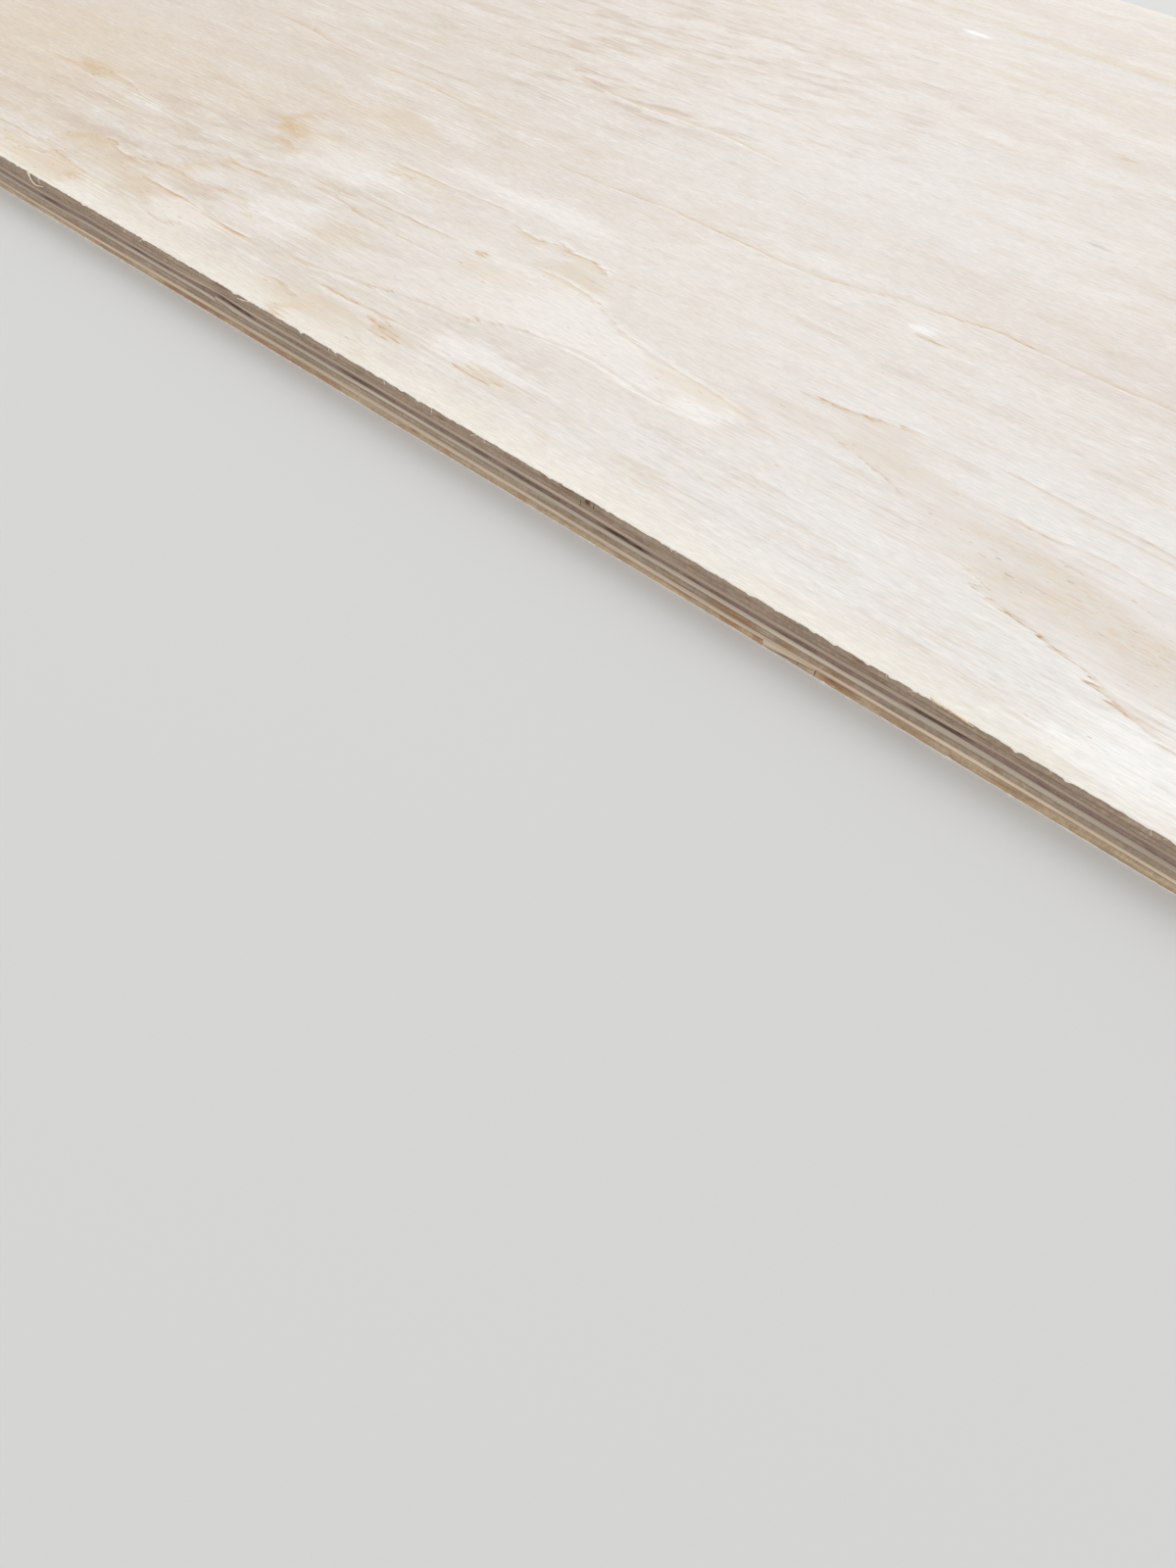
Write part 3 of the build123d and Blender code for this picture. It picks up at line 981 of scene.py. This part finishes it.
# The sawn edge isn't flat: the teeth leave each ply a little proud or hollow
sawn_relief = 0.05 * mm
sawn_wave = 5 * mm
glue_spread = 0.35
core_levels = (1.0, 0.66, 0.33, 0.0)


def sawn(px, py, level):
    """How far the sawn edge lies behind its plane at each place."""
    return sawn_relief * (1 + smooth_noise(px, py, sawn_wave, level * 5.3))


def core_slab(shells, ply, marked, xs, ys, lower_at, upper_at):
    """One slab of core veneer between two heights, with worn arrises and a sawn rim."""
    px, py, out = around(xs, ys)
    lower, upper = lower_at(px, py), upper_at(px, py)
    soft = np.minimum(core_arris, (upper - lower) / 3)
    rims = [rim_at(px, py, out, core_arris, upper)]
    stain_and_shades = [stain_and_shade_at(marked, px, py, 1.0)]
    for share in core_levels:
        height = lower + soft + (upper - lower - 2 * soft) * share
        rims.append(rim_at(px, py, out, sawn(px, py, share + plies.index(ply)), height))
        stain_and_shades.append(stain_and_shade_at(marked, px, py, share))
    rims.append(rim_at(px, py, out, core_arris, lower))
    stain_and_shades.append(stain_and_shade_at(marked, px, py, 0.0))
    glue = [1.0, glue_spread] + [0.0] * (len(core_levels) - 2) + [glue_spread, 1.0]
    shells.add(rims, {"glue": glue, "stain_and_shade": stain_and_shades}, len(xs), len(ys))


def sagging(px, lower):
    """The underside of ply 8, pressed down into the core gap."""
    inside = (px > gap_start + gap_wall / 2) & (px < gap_end - gap_wall / 2)
    sag = np.interp(px, (gap_start, gap_end), (gap_sag, gap_sag_left))
    return np.where(inside, lower - sag, lower)


def core_strip(shells, number, plan):
    """One strip of a core ply, between its two glue lines."""
    x0, x1, y0, y1 = plan
    ply = plies[number]

    def lower_at(px, py):
        lower = glue_line(number, px, py)
        if ply == "long_ply_8":
            return sagging(px, lower)
        if ply == "centre_ply_6" and plan == right_length:
            clear = lap_tip + lap_glue
            return lower + np.interp(px, (lap_start, lap_end, lap_end + lap_lead_in), (lap_rise, clear, 0))
        return lower

    def upper_at(px, py):
        upper = glue_line(number + 1, px, py)
        if ply == "centre_ply_6" and plan == left_length:
            under = glue_line(number, px, py)
            before = heights_of(ply)[1] - heights_of(ply)[0] - lap_sink
            ends = (lap_start - lap_step, lap_start, lap_end)
            crushed = under + np.interp(px, ends, (before, lap_rise - lap_glue, lap_tip))
            return np.where(px <= lap_start - lap_step, upper, crushed)
        return upper

    marked = "right_length" if plan == right_length else ply
    core_slab(shells, ply, marked, along_strip(x0, x1), samples(y0, y1, core_step), lower_at, upper_at)


def gap_filling(shells):
    """The crushed wedge and the loose sliver in the core gap, under ply 8."""
    ply = "long_ply_8"
    number = plies.index(ply)
    ys = samples(wedge_recess - half_width, wedge_depth - half_width, core_step)

    def under_ply(px, py):
        return sagging(px, glue_line(number, px, py)) - gap_crack

    def over_back(px, py):
        return glue_line(1, px, py) + gap_crack

    for start, end in (crushed_wedge, loose_sliver):
        xs = samples(gap_start + start, gap_start + end, fine_step)
        core_slab(shells, ply, "gap_filling", xs, ys, over_back, under_ply)


def core_ply(number):
    """A core ply, strip by strip, in place of its node."""
    ply = plies[number]
    shells = Shells(core_layout)
    for plan in strips_of(ply):
        core_strip(shells, number, plan)
    if ply == "long_ply_8":
        gap_filling(shells)
    piece = shells.piece(f"{ply}_wood", core_veneer_material(ply, len(plies) - number))
    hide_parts(ply)
    return piece


# The face and back veneers tear where the saw leaves them: pale teeth hang over the sawn edge
# along the grain, and single fibres stick out across it
face_step = 0.8 * mm
face_arris = 0.05 * mm
lip_thickness = 0.12 * mm
chip_size = 0.26 * mm
chip_long = 6.5 * mm
chip_short = 1.9 * mm
tooth_spacing = 8.5 * mm
tooth_height = 0.9 * mm
tooth_rise = 0.9 * mm
tooth_fall = 3.2 * mm

# How much of a chip is left at the three rims further in, and how far a tooth leans out at its
# root and at its tip, as a share of its height
chip_left = (0.8, 0.7, 0.5)
tooth_lean = (0.25, 0.3)


def chipped(px, py, level):
    """How far the thin veneer hangs over the sawn edge (above 0) or has broken away."""
    coarse = smooth_noise(px, py, chip_long, level)
    return chip_size * (coarse + 0.7 * smooth_noise(px, py, chip_short, level + 9))


def teeth(px, py, seed):
    """Hanging slivers at random places round the rim: sharp on one side, drawn out on the other."""
    draw = np.random.default_rng(seed)
    steps = np.hypot(np.diff(px, append=px[:1]), np.diff(py, append=py[:1]))
    turn = np.concatenate([[0.0], np.cumsum(steps)[:-1]])
    hang = np.zeros(len(px))
    for middle in np.arange(0, turn[-1], tooth_spacing):
        middle += tooth_spacing * draw.uniform(-0.5, 0.5)
        height = tooth_height * draw.uniform(0, 1) ** 3
        rise, fall = tooth_rise, tooth_fall * draw.uniform(0.3, 1.0)
        if draw.uniform() < 0.5:
            rise, fall = fall, rise
        near = np.abs(turn - middle) < tooth_fall
        away = turn[near] - middle
        shape = 1 - np.where(away < 0, -away / rise, away / fall)
        hang[near] = np.maximum(hang[near], height * np.clip(shape, 0, 1))
    return hang


def thin_veneer(number, material):
    """The face or back veneer: flat outside, with a torn rim of teeth, lips and small chips."""
    ply = plies[number]
    facing_up = number > 0
    xs = samples(-half_length, half_length, face_step)
    ys = samples(-half_width, half_width, face_step)
    px, py, out = around(xs, ys)
    outer = glue_line(number + 1 if facing_up else 0, px, py)
    inner = glue_line(number if facing_up else 1, px, py)
    towards = np.sign(inner - outer)
    tear = chipped(px, py, number)
    hang = np.clip(tear, 0, None) + teeth(px, py, number)
    chip = np.where(hang > 0, 0.0, np.clip(-tear, 0, None))
    insets = (
        face_arris + chip,
        chip_left[0] * chip - tooth_lean[0] * hang,
        chip_left[1] * chip - tooth_lean[1] * hang - lip_thickness * (hang > 0),
        core_arris + chip_left[2] * chip,
    )
    heights = (outer, outer + towards * face_arris, inner + towards * hang, inner)
    rims = [rim_at(px, py, out, inset, height) for inset, height in zip(insets, heights)]
    if not facing_up:
        rims = rims[::-1]
    shells = Shells(face_layout if facing_up else back_layout)
    shells.add(rims, {}, len(xs), len(ys))
    piece = shells.piece(f"{ply}_wood", material)
    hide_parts(ply)
    return piece


# Torn fibres: short hairs of wood along the arrises, made by Geometry Nodes

fibre_spacing = 6 * mm
fibre_length = 3.2 * mm
fibre_slenderness = 0.075
fibre_share = 0.45
fibre_root = 0.15 * mm
fibre_sides = 5

# Of those along the long edges: the share that leans to the right, and how far they lie along
# and stick out
share_to_right = 0.7
fibre_along = 1.1
fibre_out = 0.35

# Their rows: height, how far they rise or droop, and seed
fibre_rows = {
    "face_arris_fibres": (top_of_sheet - 0.2 * mm, -0.35, 5),
    "back_arris_fibres": (0.35 * mm, 0.45, 8),
}


def torn_fibre_tree():
    """Hairs at some of the points of a mesh, along its attribute way, each bent and tapered."""
    tree = bpy.data.node_groups.new("torn_fibres", "GeometryNodeTree")
    sockets = (
        ("Geometry", "NodeSocketGeometry"), ("Length", "NodeSocketFloat"),
        ("Slenderness", "NodeSocketFloat"), ("Share", "NodeSocketFloat"),
        ("Seed", "NodeSocketInt"), ("Material", "NodeSocketMaterial"),
    )
    for name, kind in sockets:
        tree.interface.new_socket(name, in_out="INPUT", socket_type=kind)
    tree.interface.new_socket("Geometry", in_out="OUTPUT", socket_type="NodeSocketGeometry")
    given = add(tree, "NodeGroupInput")

    hair = add(
        tree, "GeometryNodeCurveQuadraticBezier",
        {"Resolution": 4, "Start": (0, 0, 0), "Middle": (0.5, 0, 0.22), "End": (1, 0, 0.02)},
    )
    share = add(tree, "GeometryNodeSplineParameter")
    taper = add(tree, "Math", (share, -0.8, 1.0), operation="MULTIPLY_ADD")
    tapered = add(tree, "GeometryNodeSetCurveRadius", {"Curve": hair, "Radius": taper})
    radius = add(tree, "Math", (given.outputs["Slenderness"], 0.5), operation="MULTIPLY")
    section = add(tree, "GeometryNodeCurvePrimitiveCircle", {"Resolution": fibre_sides, "Radius": radius})
    body = add(
        tree, "GeometryNodeCurveToMesh", {"Curve": tapered, "Profile Curve": section, "Fill Caps": True},
    )

    seed = given.outputs["Seed"]
    chosen = add(
        tree, "FunctionNodeRandomValue", {"Probability": given.outputs["Share"], "Seed": seed},
        data_type="BOOLEAN",
    )
    way = add(tree, "GeometryNodeInputNamedAttribute", {"Name": "way"}, data_type="FLOAT_VECTOR")
    stray = add(
        tree, "FunctionNodeRandomValue", {0: (-0.6, -0.6, -0.35), 1: (0.6, 0.6, 0.15), "Seed": seed},
        data_type="FLOAT_VECTOR",
    )
    bent = add(tree, "VectorMath", (way, stray), operation="ADD")
    turned = add(tree, "FunctionNodeAlignRotationToVector", {"Vector": bent}, axis="X")
    size = add(tree, "FunctionNodeRandomValue", {2: 0.25, 3: 1.0, "Seed": seed}, data_type="FLOAT")
    length = add(tree, "Math", (size.outputs[1], given.outputs["Length"]), operation="MULTIPLY")
    inputs = {
        "Points": given.outputs["Geometry"], "Selection": chosen.outputs[3], "Instance": body,
        "Rotation": turned, "Scale": length,
    }
    hairs = add(tree, "GeometryNodeInstanceOnPoints", inputs)
    real = add(tree, "GeometryNodeRealizeInstances", {"Geometry": hairs})
    inputs = {"Geometry": real, "Material": given.outputs["Material"]}
    dressed = add(tree, "GeometryNodeSetMaterial", inputs)
    add(tree, "NodeGroupOutput", {"Geometry": dressed})
    return tree


def grown(name, points, ways, tree, values):
    """The mesh that a Geometry Nodes tree makes of points with an attribute way."""
    mesh = bpy.data.meshes.new(name)
    mesh.from_pydata([tuple(point) for point in points], [], [])
    layer = mesh.attributes.new("way", "FLOAT_VECTOR", "POINT")
    layer.data.foreach_set("vector", np.array(ways, dtype=np.float32).ravel())
    made = put(name, mesh)
    modifier = made.modifiers.new("fibres", "NODES")
    modifier.node_group = tree
    for item in tree.interface.items_tree:
        if item.in_out == "INPUT" and item.name in values:
            modifier[item.identifier] = values[item.name]
    evaluated = made.evaluated_get(bpy.context.evaluated_depsgraph_get())
    real = bpy.data.meshes.new_from_object(evaluated)
    made.modifiers.remove(modifier)
    made.data = real
    return made


def arris_fibres(name, height, rise, seed, tree, material):
    """Hairs round the sheet at one height: along the long edges, and out of the short ones."""
    draw = np.random.default_rng(seed)
    points, ways = [], []
    for side in (-1, 1):
        for x in np.arange(-half_length, half_length, fibre_spacing):
            grain = 1 if draw.uniform() < share_to_right else -1
            points.append((x + draw.uniform(0, fibre_spacing), side * (half_width - fibre_root), height))
            ways.append((fibre_along * grain, fibre_out * side, rise))
        for y in np.arange(-half_width, half_width, fibre_spacing):
            points.append((side * (half_length - fibre_root), y + draw.uniform(0, fibre_spacing), height))
            ways.append((1.0 * side, 0.0, rise))
    values = {
        "Length": fibre_length, "Slenderness": fibre_slenderness, "Share": fibre_share,
        "Seed": seed, "Material": material,
    }
    return grown(name, points, ways, tree, values)


# Slivers that show in the photograph. Their points are in millimetres: along the
# sheet, out from the sawn edge, and up from the face. The radius is at the root
slivers = {
    "curled_sliver": (0.55, ((-182, -0.3, -0.2), (-179.5, 0.5, -1.3), (-178, 0.8, -3.1), (-175, 1.0, -4.3),
                             (-171, 0.9, -3.9), (-168, 0.5, -3.1))),
    "short_sliver": (0.28, ((-173, -0.2, -0.3), (-171.5, 0.5, -1.4), (-170.5, 0.7, -2.9))),
    "slanted_sliver": (0.36, ((-9, -0.4, -0.2), (-11.5, 0.3, -0.6), (-15, 0.6, -1.3), (-19, 0.5, -1.9))),
    "lifted_sliver": (0.34, ((342, -0.5, -0.1), (346, 0.2, 0.2), (351, 0.4, 0.15), (356, 0.5, -0.3),
                             (359.5, 0.4, -0.6))),
    "left_hair": (0.20, ((42, -0.2, -0.2), (42.3, 0.4, -0.9), (42.2, 0.6, -1.7))),
    "right_hair": (0.22, ((131, -0.2, -0.2), (129.5, 0.5, -0.9), (127.5, 0.6, -1.8))),
}
sliver_sides = 3
sliver_steps = 8
sliver_taper = 0.6


def sliver(name, radius, points, material):
    """A tapered sliver along a smooth curve through given points."""
    data = bpy.data.curves.new(name, "CURVE")
    data.dimensions = "3D"
    data.bevel_depth = radius * mm
    data.bevel_resolution = sliver_sides
    data.resolution_u = sliver_steps
    data.use_fill_caps = True
    spline = data.splines.new("NURBS")
    spline.points.add(len(points) - 1)
    for share, (point, (x, out, up)) in enumerate(zip(spline.points, points)):
        point.co = (x * mm, -half_width - out * mm, top_of_sheet + up * mm, 1.0)
        point.radius = 1 - sliver_taper * share / (len(points) - 1)
    spline.order_u = 3
    spline.use_endpoint_u = True
    line = bpy.data.objects.new(f"{name}_line", data)
    mesh = bpy.data.meshes.new_from_object(line)
    bpy.data.objects.remove(line)
    mesh.materials.clear()
    mesh.materials.append(material)
    return put(name, mesh)


# Floor, of pale matt paint without a pattern, and light

floor_tone = 0xD9D9D8
floor_size = 40.0
sky_strength = 0.85
backdrop_strength = 1.0
lamp_power = 20.5
lamp_size = (3.0, 2.0)
lamp_place = Vector((-0.6, 1.4, 2.4))


def pale_floor():
    """A plain pale floor that the sheet lies on."""
    mesh = bpy.data.meshes.new("floor")
    half = floor_size / 2
    corners = [(-half, -half, 0), (half, -half, 0), (half, half, 0), (-half, half, 0)]
    mesh.from_pydata(corners, [], [(0, 1, 2, 3)])
    floor = put("floor", mesh)
    material, tree = new_material("matt_paint_floor")[:2]
    surface(tree, linear(floor_tone), 0.9)
    mesh.materials.append(material)


def studio_light():
    """Even light from all round, and a large soft lamp above the far side."""
    world = bpy.data.worlds.new("studio")
    bpy.context.scene.world = world
    world.use_nodes = True
    tree = world.node_tree
    tree.nodes.clear()
    path = add(tree, "LightPath")
    lit = add(tree, "Background", (linear(0xFFFFFF), sky_strength))
    seen = add(tree, "Background", (linear(0xFFFFFF), backdrop_strength))
    mixed = add(tree, "MixShader", (path.outputs["Is Camera Ray"], lit, seen))
    add(tree, "OutputWorld", {"Surface": mixed})
    data = bpy.data.lights.new("soft_box", "AREA")
    data.shape = "RECTANGLE"
    data.size, data.size_y = lamp_size
    data.energy = lamp_power
    turn = (-lamp_place).to_track_quat("-Z", "Y").to_matrix().to_4x4()
    put("soft_box", data).matrix_world = Matrix.Translation(lamp_place) @ turn


photo_camera()
made = [
    thin_veneer(len(plies) - 1, face_veneer_material("peeled_pine_face_veneer", 0.0, True)),
    thin_veneer(0, face_veneer_material("peeled_pine_back_veneer", 21.0, False)),
]
torn = torn_fibre_material("torn_pine_fibres", *torn_tones)
resinous = torn_fibre_material("torn_resinous_pine", *resinous_tones)
fibres = torn_fibre_tree()
for name, row in fibre_rows.items():
    made.append(arris_fibres(name, *row, fibres, torn))
for name, (radius, points) in slivers.items():
    made.append(sliver(name, radius, points, resinous if name == "lifted_sliver" else torn))
for number in range(1, len(plies) - 1):
    piece = core_ply(number)
    made.append(piece)
for piece in made:
    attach(piece, "root")
pale_floor()
studio_light()
bpy.context.scene.view_settings.view_transform = "Standard"
